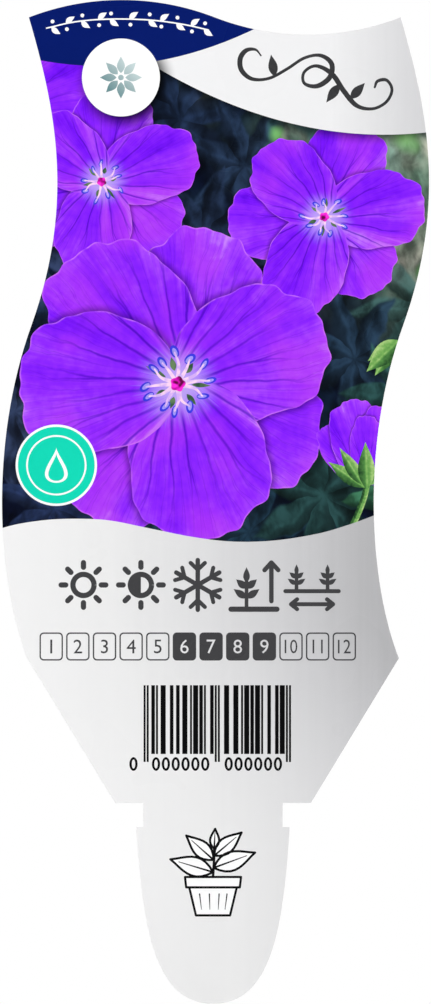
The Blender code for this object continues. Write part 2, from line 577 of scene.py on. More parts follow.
# Each bloom's middle and radius.
CORNER_BLOOM = ((-37.0, 118.0), 20.0)
LEFT_BLOOM = ((-19.0, 106.0), 16.5)
UPPER_BLOOM = ((19.0, 100.0), 17.5)
MAIN_BLOOM = ((-6.0, 71.5), 27.0)
UPPER_SQUASH = 0.94


def petal_outline(width, ruffle, phase):
    """A petal one long, from its base at the origin to its tip on y, with a ruffled end."""
    outline = []
    for step in range(PETAL_POINTS):
        bearing = math.tau * step / PETAL_POINTS - math.pi
        side, tip = math.sin(bearing), math.cos(bearing)
        waves = sum(share * math.sin(count * bearing + start + phase) for count, share, start in RUFFLES)
        gauge = (abs(side) ** PETAL_SQUARENESS + abs(tip) ** PETAL_SQUARENESS) ** (1 / PETAL_SQUARENESS)
        swell = (1 + ruffle * (0.5 + 0.5 * tip) * waves) / gauge
        rise = tip * swell * ((1 - PETAL_MIDDLE) if tip > 0 else PETAL_MIDDLE)
        outline.append(Vector((width / 2 * side * swell, PETAL_MIDDLE + rise)))
    return outline


# The same petal as a field: the rim is where Rim is 1, and Reach, Side and Fan run over it.
petal_form, (form_place, form_width, form_ruffle, form_phase, *_), form_out = new_group(
    "petal form",
    {"Place": ORIGIN, "Width": 0.8, "Ruffle": 0.05, "Phase": 0.0},
    {"Rim": 0.0, "Reach": 0.0, "Side": 0.0, "Fan": 0.0},
)
form_x, form_y, _ = split(form_place)
form_side = form_x / (form_width * 0.5)
form_rise = form_y - PETAL_MIDDLE
half_length = calc("GREATER_THAN", form_rise, 0.0) * (1 - 2 * PETAL_MIDDLE) + PETAL_MIDDLE
form_tip = form_rise / half_length
form_bearing = calc("ARCTAN2", form_side, form_tip)
squares = [calc("POWER", calc("ABSOLUTE", part), PETAL_SQUARENESS) for part in (form_side, form_tip)]
form_gauge = calc("POWER", squares[0] + squares[1], 1 / PETAL_SQUARENESS)
form_waves = sum(
    calc("SINE", form_bearing * count + start + form_phase) * share for count, share, start in RUFFLES
)
ruffled = form_ruffle * (calc("COSINE", form_bearing) * 0.5 + 0.5) * form_waves
feed(form_out[0], form_gauge / (ruffled + 1.0))
feed(form_out[1], place_calc("LENGTH", form_place))
feed(form_out[2], form_side)
feed(form_out[3], calc("ARCTAN2", form_x, form_y + 0.10))

# Veins that fan out from the throat. Each is its own strength and forks at its own reach.
veining, (vein_fan, vein_reach, vein_spacing, *_), vein_out = new_group(
    "forking veins", {"Fan": 0.0, "Reach": 0.0, "Spacing": 0.17}, {"Vein": 0.0}
)


def forking(fan, spacing, fork_from, breadth, fade_from):
    """Wires one set of veins that fork once, from 0 to 1."""
    count = fan / spacing
    order = calc("ROUND", count)
    own_1, own_2, own_3 = split(wired("TexWhiteNoise", None, order, out=1, noise_dimensions="1D"))
    offset = count - order
    start = own_1 * 0.30 + fork_from
    spread = eased(vein_reach, start, start + 0.55, 0.0, 0.34) * calc("SIGN", own_2 - 0.5)
    branch, trunk = (calc("ABSOLUTE", spread * share + offset) for share in (-1.0, 0.35))
    off_vein = calc("MINIMUM", branch, trunk) * (spacing * vein_reach)
    line = eased(off_vein, 0.0, eased(vein_reach, 0.2, 1.0, 1.0, 0.5) * breadth, 1.0, 0.0)
    faded = eased(vein_reach, fade_from, own_3 * 0.35 + (fade_from + 0.25), 1.0, 0.0)
    return line * faded * (own_2 * 0.45 + 0.55)


main_veins = forking(vein_fan, vein_spacing, 0.38, 0.0120, 0.45)
fine_veins = forking(vein_fan + 7.3, vein_spacing * 0.37, 0.50, 0.0060, 0.85) * 0.30
fine_veins = fine_veins * eased(vein_reach, 0.3, 0.6)
feed(vein_out[0], calc("MAXIMUM", main_veins, fine_veins) * eased(vein_reach, 0.13, 0.26))


def petal_colour(width, ruffle, spacing, throat_reach):
    """Wires the colours of one kind of petal. It reads the UV maps that lay_petals gives."""

    def colour(place):
        local, mark, over_a, over_b, over_mark = (
            wired("UVMap", tree=place.tree, uv_map=name)
            for name in ("petal", "mark", "over_a", "over_b", "over_mark")
        )
        light, phase, _ = split(mark)
        rim, reach, side, fan = use_group(petal_form, local, width, ruffle, phase)
        rays = wired("CombineXYZ", fan * 9.0, reach, phase)
        folds = noise(mapped(rays, (0.45, 0.9, 1.0)), 1.0, 1.0)
        satin = noise(mapped(rays, (6.0, 2.2, 1.0)), 1.0, 3.0)
        crepe = noise(place, 0.62, 4.0)
        ripples = noise(mapped(rays, (1.9, 1.5, 1.0)), 1.0, 1.0)
        lit_side = side * light
        tone = (folds - 0.5) * 0.85 + 0.50
        tone = (satin - 0.5) * 0.38 + tone
        tone = (crepe - 0.5) * 0.42 + tone
        tone = (ripples - 0.5) * eased(rim, 0.45, 0.95, 0.0, 0.50) + tone
        tone = lit_side * 0.20 + tone + eased(rim, 0.72, 1.0, 0.0, 0.10)
        colour = ramp(tone, PETAL_TONES)
        blush = eased(lit_side * 0.10 + (folds * 0.35 + noise(place, 0.075, 1.0)), 0.62, 0.86)
        colour = mixed(blush * 0.48, colour, shown(*BLUSH_TONE))
        glow = eased(satin * 0.22 + reach, 0.14, throat_reach, 0.95, 0.0)
        colour = mixed(glow, colour, shown(*THROAT_TONE))
        own_place = place_calc("ADD", local, wired("CombineXYZ", phase, phase, 0.0))
        sway = noise(own_place, 9.0, 2.0) * 0.030 + (noise(own_place, 1.9, 1.0) * 0.22 + fan)
        vein = use_group(veining, sway, reach, spacing)[0]
        colour = mixed(vein * 0.95, colour, shown(*VEIN_TONE))
        lip = eased(rim, 0.972, 0.994) * eased(reach, 0.25, 0.5, 0.1, 0.7)
        lip = lip * eased(noise(place, 0.45), 0.38, 0.64, 0.15, 1.0)
        colour = mixed(lip, colour, shown(*LIP_TONE))
        for over, over_phase in zip((over_a, over_b), split(over_mark)):
            beside = use_group(petal_form, over, width, ruffle, over_phase)[0]
            colour = times(colour, eased(beside, 0.97, 1.12, 0.42, 1.0))
        return times(colour, use_group(printed_shade, place, 1.0)[0])

    return colour


def petal_frame(middle, length, broadness, turn, squash=1.0):
    """How a petal's own place goes to the face: sized, turned by degrees and flattened."""
    sized = Matrix(((length * broadness, 0.0), (0.0, length)))
    flattened = Matrix(((1.0, 0.0), (0.0, squash)))
    return flattened @ Matrix.Rotation(math.radians(-turn), 2) @ sized, Vector(middle)


def lay_petals(film, frames, width, ruffle, chance, laid_over):
    """Lays petals in turn, each with maps of itself and of up to two petals laid over it."""
    phases = [chance.uniform(0, math.tau) for _ in frames]
    for number, (turn, (spread, base)) in enumerate(frames):
        maps = {"petal": (spread.inverted(), base)}
        maps["mark"] = (math.sin(math.radians(turn + LIGHT_BEARING)), phases[number])
        over = laid_over(number)
        for map_name, other in zip(("over_a", "over_b"), over):
            over_spread, over_base = frames[other][1]
            maps[map_name] = (over_spread.inverted(), over_base)
        maps["over_mark"] = (*[phases[other] for other in over], 0.0, 0.0)[:2]
        lay(film, [[spread @ spot + base for spot in petal_outline(width, ruffle, phases[number])]], **maps)


def lay_bloom(film, middle, radius, count, width, ruffle, turn, seed, squash=1.0):
    """Lays an open bloom: first every second petal, then the ones between them, over their sides."""
    chance = random.Random(seed)
    order = [*range(0, count, 2), *range(1, count, 2)]
    frames = []
    for number in order:
        bearing = turn + 360 / count * number + chance.uniform(-4, 4)
        reach = radius * chance.uniform(0.92, 1.04)
        frames.append((bearing, petal_frame(middle, reach, chance.uniform(0.92, 1.08), bearing, squash)))

    def laid_over(number):
        """The neighbours that are laid after a petal."""
        later = range(number + 1, count)
        return [other for other in later if (order[other] - order[number]) % count in (1, count - 1)]

    lay_petals(film, frames, width, ruffle, chance, laid_over)


far_print = new_finish("far petal print", petal_colour(*FAR_PETAL, 0.24, 0.42))
upper_print = new_finish("upper petal print", petal_colour(*UPPER_PETAL, 0.22, 0.42))
main_print = new_finish("main petal print", petal_colour(*MAIN_PETAL, 0.20, 0.41))
bloom_far = new_film("bloom_far", far_print)
bloom_upper = new_film("bloom_upper", upper_print)
bloom_main = new_film("bloom_main", main_print)
lay_bloom(bloom_far, *CORNER_BLOOM, 6, *FAR_PETAL, 24, 6)
lay_bloom(bloom_far, *LEFT_BLOOM, 6, *FAR_PETAL, 10, 5)
lay_bloom(bloom_upper, *UPPER_BLOOM, 6, *UPPER_PETAL, 22, 8, UPPER_SQUASH)
lay_bloom(bloom_main, *MAIN_BLOOM, 7, *MAIN_PETAL, 14, 3)

# Stamens.
# Each bloom's middle is a magenta boss in a ring of pale threads with blue anthers. Slivers
# of green sepal show in the clefts between the petals.
LEAF_POINTS = 9
CURVE_STEPS = 6
BOSS_POINTS = 40
# Shares of a bloom's radius.
SLIVER_BASE = 0.085
SLIVER_REACH = (0.15, 0.25)
SLIVER_BREADTH = (0.028, 0.044)
THREAD_REACH = (0.150, 0.220)
THREAD_BREADTH, THREAD_THINNING = 0.028, 0.018
THREAD_BOW = 0.03
ANTHER_SHAPE = (0.023, 0.041, 0.0)
POLLEN_SHAPE = (0.0125, 0.029, 0.006)
BOSS_RADIUS = 0.046
BOSS_TONES = [(0.38, (104, 8, 70)), (0.48, (214, 20, 178)), (0.6, (255, 48, 222))]
THREAD_TONES = [(0.4, (214, 176, 246)), (0.6, (252, 214, 244))]
SEPAL_TONES = [(0.4, (48, 84, 62)), (0.62, (104, 134, 92))]


def smooth_line(points, steps=CURVE_STEPS):
    """A smooth curve through points."""
    points = [Vector(point) for point in points]
    padded = [2 * points[0] - points[1], *points, 2 * points[-1] - points[-2]]
    line = []
    for before, start, end, after in zip(padded, padded[1:], padded[2:], padded[3:]):
        for step in range(steps):
            t = step / steps
            line.append(
                0.5 * (
                    2 * start
                    + (end - before) * t
                    + (2 * before - 5 * start + 4 * end - after) * t**2
                    + (3 * start - before - 3 * end + after) * t**3
                )
            )
    return [*line, points[-1]]


def circle(middle, radius, points=40):
    """A round outline."""
    turns = [math.tau * step / points for step in range(points)]
    return [Vector(middle) + radius * Vector((math.cos(turn), math.sin(turn))) for turn in turns]


def stroke(line, width, ends=True):
    """A pen line as four-cornered areas, with round ends. The width is one number, or one a point."""
    line = [Vector(spot) for spot in line]
    widths = width if isinstance(width, list) else [width] * len(line)
    sides = []
    for number, spot in enumerate(line):
        ahead = line[min(number + 1, len(line) - 1)] - line[max(number - 1, 0)]
        across = Vector((-ahead.y, ahead.x)).normalized() * widths[number] / 2
        sides.append((spot + across, spot - across))
    areas = [[a, b, d, c] for (a, b), (c, d) in zip(sides, sides[1:])]
    if ends:
        areas += [circle(line[0], widths[0] / 2, 12), circle(line[-1], widths[-1] / 2, 12)]
    return areas


def leaf(base, tip, breadth, lean=0.0):
    """A pointed leaf's outline from base to tip."""
    base, tip = Vector(base), Vector(tip)
    along = tip - base
    across = Vector((-along.y, along.x)).normalized()
    outline = []
    for hand in (1, -1):
        for step in range(LEAF_POINTS):
            share = step / LEAF_POINTS if hand > 0 else 1 - step / LEAF_POINTS
            bulge = math.sin(math.pi * share**0.8) ** 1.15 * breadth / 2
            bow = lean * math.sin(math.pi * share)
            outline.append(base + along * share + across * (hand * bulge + bow))
    return outline


def placed(areas, middle, turn=0.0, size=1.0):
    """Outlines sized, turned by degrees and moved."""
    turned = Matrix.Rotation(math.radians(turn), 2)
    return [[turned @ Vector(spot) * size + Vector(middle) for spot in area] for area in areas]


def mottled_colour(tones, scale, detail=2.0):
    """Wires a colour that varies at random between tones."""
    return lambda place: ramp(noise(place, scale, detail), tones)


sepals = new_film("sepals", new_finish("sepal print", mottled_colour(SEPAL_TONES, 0.5)))
threads = new_film("threads", new_finish("thread print", mottled_colour(THREAD_TONES, 0.9)))
anthers = new_film("anthers", new_finish("anther print", shown(58, 58, 222), mottle=0.5))
pollen = new_film("pollen", new_finish("pollen print", shown(160, 150, 244), mottle=0.5))
boss = new_film("boss", new_finish("boss print", mottled_colour(BOSS_TONES, 0.9, 1.0)))


def lay_eye(middle, radius, count, clefts, first_cleft, seed, squash=1.0):
    """Lays the middle of a bloom of that radius."""
    chance = random.Random(seed)

    def spun(areas, turn):
        """Outlines turned about the bloom's middle and flattened with it."""
        turned = placed(areas, (0, 0), turn)
        return [[Vector((s.x, s.y * squash)) + Vector(middle) for s in area] for area in turned]

    for number in range(clefts):
        sliver_end = (0.0, chance.uniform(*SLIVER_REACH) * radius)
        sliver = leaf((0.0, SLIVER_BASE * radius), sliver_end, chance.uniform(*SLIVER_BREADTH) * radius)
        lay(sepals, spun([sliver], first_cleft + 360 / clefts * number + chance.uniform(-5, 5)))
    for number in range(count):
        reach = chance.uniform(*THREAD_REACH) * radius
        turn = 360 / count * number + chance.uniform(-9, 9)
        lean = chance.uniform(-35, 35)
        plump = chance.uniform(0.8, 1.2)
        for film, (breadth, length, back) in ((anthers, ANTHER_SHAPE), (pollen, POLLEN_SHAPE)):
            oval = circle((0, 0), radius, 18)
            head = [[Vector((s.x * breadth * plump, s.y * length - back * radius)) for s in oval]]
            lay(film, spun(placed(placed(head, (0, 0), lean), (0.0, reach)), turn))
        bow = chance.uniform(-THREAD_BOW, THREAD_BOW) * radius
        line = smooth_line([(0.0, 0.02 * radius), (bow, 0.6 * reach), (0.0, 0.97 * reach)], 5)
        thinned = [THREAD_THINNING * step / (len(line) - 1) for step in range(len(line))]
        widths = [(THREAD_BREADTH - less) * radius for less in thinned]
        lay(threads, spun(stroke(line, widths), turn))
    lobes = []
    for turn in (math.tau * step / BOSS_POINTS for step in range(BOSS_POINTS)):
        swell = 1 + 0.10 * math.sin(5 * turn + seed)
        lobes.append(Vector((math.sin(turn), math.cos(turn))) * BOSS_RADIUS * radius * swell)
    lay(boss, spun([lobes], 0.0))


lay_eye(*LEFT_BLOOM, 9, 6, 40.0, 11)
lay_eye(*UPPER_BLOOM, 9, 6, -8.0, 12, UPPER_SQUASH)
lay_eye(*MAIN_BLOOM, 12, 7, 12.0, 13)

# Buds.
# A half-open bloom on its stalk leans into the picture at the lower right, with a closed green
# bud above it. They are printed with the rest of the picture.
BUD_STALK = [(37.6, 66.0), (35.4, 74.0), (32.6, 78.0), (30.9, 78.6)]
BUD_STALK_WIDTH = 0.75
BUD_SEPALS = [
    # base, tip, breadth
    ((31.6, 79.0), (26.4, 75.4), 2.6),
    ((31.4, 78.4), (27.6, 72.9), 2.6),
    ((31.7, 78.9), (26.2, 73.6), 3.3),
]
HALF_OPEN_BASE = (26.3, 54.6)
HALF_OPEN_STALK = [(20.4, 42.0), (23.6, 47.0), (25.6, 51.6), HALF_OPEN_BASE]
HALF_OPEN_STALK_WIDTH = 1.05
HALF_OPEN_PETAL = (0.84, 0.07)
HALF_OPEN_PETALS = [
    # turn, length, broadness
    (-38, 12.0, 0.66),
    (34, 12.4, 0.66),
    (-12, 14.6, 0.74),
    (16, 13.6, 0.72),
    (0, 11.4, 0.62),
]
HALF_OPEN_SEPALS = [
    # base, tip, breadth
    ((25.9, 53.8), (19.6, 58.2), 2.5),
    ((25.6, 54.2), (21.6, 60.6), 2.3),
    ((27.0, 54.2), (31.4, 60.2), 2.3),
    ((26.3, 53.4), (26.0, 61.6), 2.9),
]
GREEN_TONES = [
    (0.1, (26, 58, 34)),
    (0.5, (80, 136, 68)),
    (0.75, (120, 174, 90)),
    (1.0, (186, 216, 140)),
]


def green_colour(place):
    """Leaf green, lit along one side, with a paler rib and fine down."""
    across, along, _ = split(wired("UVMap", tree=place.tree, uv_map="petal"))
    rib = eased(calc("ABSOLUTE", across), 0.0, 0.12, 0.22, 0.0)
    down = noise(place, 1.6, 3.0) * 0.5 - 0.25
    tone = eased(across, -0.5, 0.5, 0.15, 0.85) + rib + down
    return ramp(along * 0.12 + tone, GREEN_TONES)


def map_along(base, tip, breadth):
    """A map that is one across a breadth and one along from base to tip."""
    along = tip - base
    across = Vector((along.y, -along.x)).normalized() * breadth
    return Matrix(((across.x, along.x), (across.y, along.y))).inverted(), base


def lay_stalk(line, width):
    """Lays a stalk, with its map across it."""
    line = smooth_line(line, 5)
    for start, end in zip(line, line[1:]):
        lay(green_parts, stroke([start, end], width), petal=map_along(start, end, width))


def lay_sepals(shapes):
    """Lays pointed sepals, each with a map across and along it."""
    for base, tip, breadth in shapes:
        sepal_map = map_along(Vector(base), Vector(tip), breadth)
        lay(green_parts, [leaf(base, tip, breadth)], petal=sepal_map)


green_parts = new_film("green_parts", new_finish("green print", green_colour))
half_open_print = new_finish("half open petal print", petal_colour(*HALF_OPEN_PETAL, 0.28, 0.18))
half_open = new_film("half_open", half_open_print)
lay_stalk(BUD_STALK, BUD_STALK_WIDTH)
lay_sepals(BUD_SEPALS)
lay_stalk(HALF_OPEN_STALK, HALF_OPEN_STALK_WIDTH)
lay_petals(
    half_open,
    [(turn, petal_frame(HALF_OPEN_BASE, reach, broad, turn)) for turn, reach, broad in HALF_OPEN_PETALS],
    *HALF_OPEN_PETAL,
    random.Random(21),
    lambda number: [other for other in (number + 1, number + 2) if other < len(HALF_OPEN_PETALS)],
)
lay_sepals(HALF_OPEN_SEPALS)

# Lower panel and tongue.
# Below the picture the face is printed silver grey, down the tongue to its tip. The grey runs
# from near white at the left to mid grey at the right, with faint upright streaks.
PANEL_WAVE = [
    (-44, 43.6), (-36.0, 46.9), (-29.3, 48.2), (-23.2, 48.5), (-17.6, 48.2), (-11.0, 46.9), (-3.5, 45.4),
    (3.5, 44.6), (10.6, 44.8), (17.6, 45.9), (22.3, 47.2), (27.3, 49.0), (36.0, 52.6),
]
PANEL_FOOT = [(-44, -60), (44, -60)]
LOWER_TONES = [
    (0.0, (243, 243, 243)),
    (0.28, (236, 236, 236)),
    (0.54, (222, 222, 223)),
    (0.80, (202, 202, 204)),
    (1.0, (180, 180, 182)),
]
SILVER_MOTTLE = 0.008


def silver_colour(tones, from_x, to_x, slide=0.0, shaded=False):
    """Wires a silver-grey blend across the label, slid sideways on its way down."""

    def colour(place):
        x, _, z = split(place)
        share = wired("MapRange", x - eased(z, -16.0, 38.0, slide, 0.0), from_x, to_x)
        streaks = noise(mapped(place, (1.0, 1.0, 0.008)), 0.9, 3.0)
        silver = ramp((streaks - 0.5) * 0.07 + share, tones)
        return times(silver, use_group(printed_shade, place, 0.0)[0]) if shaded else silver

    return colour


lower_silver = new_finish(
    "silver grey ink", silver_colour(LOWER_TONES, -36.0, 27.0, slide=22.0), mottle=SILVER_MOTTLE
)
lower_panel = new_film("lower_panel", lower_silver)
panel_top = smooth_line(PANEL_WAVE)
lay(lower_panel, [[*(Vector(spot) for spot in PANEL_FOOT), *reversed(panel_top)]])

# Top panel.
# The same silver grey fills the board's top right corner, above a shallow curve.
TOP_TONES = [(0.0, (241, 241, 242)), (0.62, (238, 238, 239)), (1.0, (210, 210, 212))]
PAST_THE_TOP = 150


def above_curve(dip, from_x, to_x, count=40):
    """The area above a shallow curve through its lowest place, from one x to another."""
    middle, height, bend = dip
    spots = [from_x + (to_x - from_x) * step / count for step in range(count + 1)]
    curve = [Vector((x, height + bend * (x - middle) ** 2)) for x in spots]
    return [*curve, Vector((to_x, PAST_THE_TOP)), Vector((from_x, PAST_THE_TOP))]


top_silver = new_finish(
    "top silver ink", silver_colour(TOP_TONES, -6.0, 36.0, shaded=True), mottle=SILVER_MOTTLE
)
top_panel = new_film("top_panel", top_silver)
lay(top_panel, [above_curve(TOP_PANEL_DIP, -24, 44)])

# Navy band.
# A band of navy ink rounds off the top left corner and runs out to a point along the top edge.
BAND_DIP = (-19.19, 125.74, 0.00915)
navy_band = new_film("navy_band", new_finish("navy ink", shown(2, 26, 105), mottle=0.10))
lay(navy_band, [above_curve(BAND_DIP, -50, 30)])

# Band border.
# Along the navy band runs a small white border of leaves and dots on a fine stem. It is
# left unprinted, so the white of the sheet shows.
BORDER_ARC = [(-28.4, 132.2), (-23.4, 133.3), (-17.6, 133.75), (-11.0, 133.6), (-5.4, 132.9), (-0.8, 131.9)]
BORDER_STEM = 0.24
BORDER_LEAVES = 11
BORDER_LEAF_REACH = (1.55, 1.2)
BORDER_LEAF_BREADTH, BORDER_LEAF_LEAN = 0.95, 0.12
BORDER_DOT_OFFSET = (0.2, -0.95)
BORDER_DOT_RADIUS = 0.33
bare_white = new_finish("unprinted white", shown(255, 255, 255), mottle=0.015)
band_border = new_film("band_border", bare_white)
border_line = smooth_line(BORDER_ARC)
lay(band_border, stroke(border_line, BORDER_STEM))
for number in range(BORDER_LEAVES):
    spot = border_line[round((number + 0.5) / BORDER_LEAVES * (len(border_line) - 1))]
    hand = 1 if number % 2 else -1
    leaf_reach, dot_offset = (Vector((x, hand * z)) for x, z in (BORDER_LEAF_REACH, BORDER_DOT_OFFSET))
    lay(band_border, [leaf(spot, spot + leaf_reach, BORDER_LEAF_BREADTH, BORDER_LEAF_LEAN * hand)])
    lay(band_border, [circle(spot + dot_offset, BORDER_DOT_RADIUS, 14)])

# Flourish.
# A pen flourish in dark grey dresses the top panel. It swells and thins as a brush pen does,
# crosses itself in one loop and carries three leaves.
FLOURISH_MIDDLE = (17.4, 123.4)
FLOURISH_TURN = -15.0
FLOURISH_SIZE = 1.06
FLOURISH_LINE = [
    (-9.4, 1.5), (-10.5, 2.2), (-11.9, 1.7), (-12.5, 0.2), (-11.8, -1.6), (-9.8, -2.5), (-7.2, -1.7),
    (-4.8, 0.5), (-2.6, 2.9), (-0.2, 4.0), (1.9, 3.2), (2.2, 1.0), (0.6, -0.9), (-1.5, -1.0),
    (-2.0, 0.7), (-0.4, 2.2), (2.4, 1.6), (5.0, -0.6), (7.6, -2.3), (10.2, -2.1), (12.0, -0.5),
    (12.4, 1.6), (11.2, 2.9), (9.8, 2.4), (9.6, 1.3),
]
FLOURISH_LEAVES = [
    # base, tip, breadth
    ((-6.4, -1.2), (-7.9, 2.1), 1.5),
    ((6.3, -1.5), (7.9, 1.6), 1.5),
    ((4.0, 0.3), (2.7, -3.1), 1.5),
]
PEN_WIDTH, PEN_SWELL = 0.60, 0.46
flourish = new_film("flourish", new_finish("pen grey ink", shown(58, 58, 60), mottle=0.40))
flourish_line = smooth_line(FLOURISH_LINE, 7)
pen_stop = len(flourish_line) - 1
pressure = []
for number in range(pen_stop + 1):
    falling = flourish_line[max(number - 1, 0)].y - flourish_line[min(number + 1, pen_stop)].y
    near_end = min(number, pen_stop - number) / pen_stop
    pressed = PEN_WIDTH + PEN_SWELL * max(-0.25, min(0.5, falling))
    pressure.append(pressed * min(1.0, 0.45 + 6 * near_end))
for _ in range(3):
    evened = zip([pressure[0], *pressure], pressure, [*pressure[1:], pressure[-1]])
    pressure = [sum(widths) / 3 for widths in evened]
flourish_areas = stroke(flourish_line, pressure) + [leaf(*given) for given in FLOURISH_LEAVES]
lay(flourish, placed(flourish_areas, FLOURISH_MIDDLE, FLOURISH_TURN, FLOURISH_SIZE))

# Disc.
# A white disc is printed over the corner where band, panel and picture meet. It bears a plain
# rosette of eight petals in grey green, paler towards one side.
ROSETTE_PETALS = 8
ROSETTE_TONES = [(0.0, (104, 142, 146)), (1.0, (206, 222, 223))]
disc = new_film("disc", bare_white)
lay(disc, [circle(DISC_MIDDLE, DISC_RADIUS, 96)])


def rosette_colour(place):
    """Grey green that pales to the upper right."""
    x, _, z = split(place)
    return ramp(wired("MapRange", x + z - sum(DISC_MIDDLE), -4.0, 5.0), ROSETTE_TONES)


rosette = new_film("rosette", new_finish("grey green ink", rosette_colour))
for number in range(ROSETTE_PETALS):
    rosette_petal = leaf((0.0, 0.75), (0.0, 3.6), 1.35)
    lay(rosette, placed([rosette_petal], DISC_MIDDLE, 360 / ROSETTE_PETALS * number))
lay(rosette, [circle(DISC_MIDDLE, 0.48, 20)])

# Badge.
# A round teal badge with a white rim and an inner ring, printed at the picture's lower left.
# Its middle holds a plain drop.
BADGE_MIDDLE = (-26.73, 57.63)
BADGE_RADII = (6.95, 6.55, 5.15, 4.85)
DROP_SIZE = (4.6, 6.0)
DROP_HOLLOW_SIZE = (3.2, 4.65)
DROP_HOLLOW_SINK = 0.35
DROP_SWELL = 1.54


def drop(width, height, points=48):
    """A water drop's outline, point up."""
    outline = []
    for step in range(points):
        turn = math.tau * step / points
        swell = math.sin(turn) * (1 - math.cos(turn)) / DROP_SWELL
        outline.append(Vector((-width / 2 * swell, height / 2 * math.cos(turn))))
    return outline


badge_white = new_film("badge_white", bare_white)
badge_teal = new_film("badge_teal", new_finish("teal ink", shown(19, 218, 184), mottle=0.06))
for film, radius in zip((badge_white, badge_teal, badge_white, badge_teal), BADGE_RADII):
    lay(film, [circle(BADGE_MIDDLE, radius, 80)])
lay(badge_white, placed([drop(*DROP_SIZE)], BADGE_MIDDLE))
hollow_middle = (BADGE_MIDDLE[0], BADGE_MIDDLE[1] - DROP_HOLLOW_SINK)
lay(badge_teal, placed([drop(*DROP_HOLLOW_SIZE)], hollow_middle))

# Care signs.
# At the head of the lower panel five plain signs for care are printed in dark grey: sun, half
# shade, frost, height and spacing.
SIGN_LINE, ARM_LINE, FINE_LINE, STEM_LINE = 0.86, 0.74, 0.66, 0.6
SIGN_HEIGHT = 37.2
SIGN_PLACES = (-22.1, -12.3, -2.6, 7.1, 16.9)
SIGN_SIZE = 1.06
SUN_RADIUS = 1.70
SUN_RAYS = 8
RAY_FROM, RAY_TO = 2.85, 3.60


def pen(points, width):
    """Straight pen lines from point to point, with round corners."""
    return [area for a, b in zip(points, points[1:]) for area in stroke([a, b], width)]


def sun(*filled):
    """A ring with short rays round it, and the areas filled inside it."""
    rim = circle((0, 0), SUN_RADIUS, 48)
    areas = [*stroke([*rim, rim[0]], SIGN_LINE, ends=False), *filled]
    for number in range(SUN_RAYS):
        turn = math.tau * number / SUN_RAYS
        heading = Vector((math.sin(turn), math.cos(turn)))
        areas += stroke([heading * RAY_FROM, heading * RAY_TO], SIGN_LINE)
    return areas


def plant(base, height, spread):
    """A small upright plant: a stem and two pairs of leaves."""
    x, z = base
    areas = pen([(x, z), (x, z + height)], STEM_LINE)
    for rise, reach in ((0.30, spread), (0.62, spread * 0.8)):
        for hand in (-1, 1):
            tip = (x + hand * reach, z + height * (rise + 0.30))
            areas.append(leaf((x, z + height * rise), tip, 0.24 * height))
    return [*areas, leaf((x, z + height * 0.8), (x, z + height * 1.32), 0.22 * height)]


half_disc = [spot for spot in circle((0, 0), SUN_RADIUS, 48) if spot.x <= 0.001]
frost_sign = []
for number in range(6):
    arm = pen([(0, 0), (0, 4.0)], ARM_LINE) + pen([(-1.15, 3.55), (0, 2.45), (1.15, 3.55)], FINE_LINE)
    frost_sign += placed(arm, (0, 0), 60 * number)
height_sign = plant((-1.3, -3.6), 4.9, 2.1) + pen([(-3.8, -3.9), (3.6, -3.9)], SIGN_LINE)
height_sign += pen([(2.7, -2.6), (2.7, 3.5)], ARM_LINE)
height_sign += pen([(1.6, 2.4), (2.7, 3.6), (3.8, 2.4)], ARM_LINE)
spacing_sign = plant((-2.5, -0.9), 3.2, 1.45) + plant((2.5, -0.9), 3.2, 1.45)
spacing_sign += pen([(-4.3, -1.0), (4.3, -1.0)], FINE_LINE) + pen([(-3.2, -3.1), (3.2, -3.1)], FINE_LINE)
for hand in (-1, 1):
    spacing_sign += pen([(hand * 2.4, -2.3), (hand * 3.4, -3.1), (hand * 2.4, -3.9)], FINE_LINE)
signs = (sun(), sun(half_disc), frost_sign, height_sign, spacing_sign)
care_signs = new_film("care_signs", new_finish("sign grey ink", shown(66, 66, 68), mottle=0.10))
for sign, x in zip(signs, SIGN_PLACES):
    lay(care_signs, placed(sign, (x, SIGN_HEIGHT), 0.0, SIGN_SIZE))

# Flowering strip.
# Twelve small boxes numbered for the months, printed in the same grey. The months of flower
# are filled, with their figures left bare.
STRIP_LEFT, STRIP_RIGHT = -29.6, 24.4
STRIP_BOTTOM, STRIP_TOP = 24.3, 29.1
STRIP_GAP = 0.55
STRIP_LINE = 0.24
STRIP_CORNER, STRIP_INNER_CORNER = 0.7, 0.5
FLOWERING = (6, 7, 8, 9)
FIGURE_HEIGHT = 2.35
TWO_FIGURES_NARROWED = 0.84


def figures(text, height):
    """The outlines of plain figures, centred on the origin."""
    words = bpy.data.curves.new("figures", "FONT")
    words.body = text
    words.resolution_u = 3
    carrier = add_object("figures", words)
    bpy.context.view_layer.update()
    bm = bmesh.new()
    bm.from_mesh(carrier.evaluated_get(bpy.context.evaluated_depsgraph_get()).to_mesh())
    bmesh.ops.remove_doubles(bm, verts=bm.verts, dist=1e-5)
    loops = [[Vector((corner.x, corner.y)) for corner in loop] for loop in edge_loops(bm)]
    bm.free()
    bpy.data.objects.remove(carrier)
    xs, ys = zip(*(spot for loop in loops for spot in loop))
    left, right, bottom, top = min(xs), max(xs), min(ys), max(ys)
    centre = Vector(((left + right) / 2, (bottom + top) / 2))
    return [[(spot - centre) * height / (top - bottom) for spot in loop] for loop in loops]


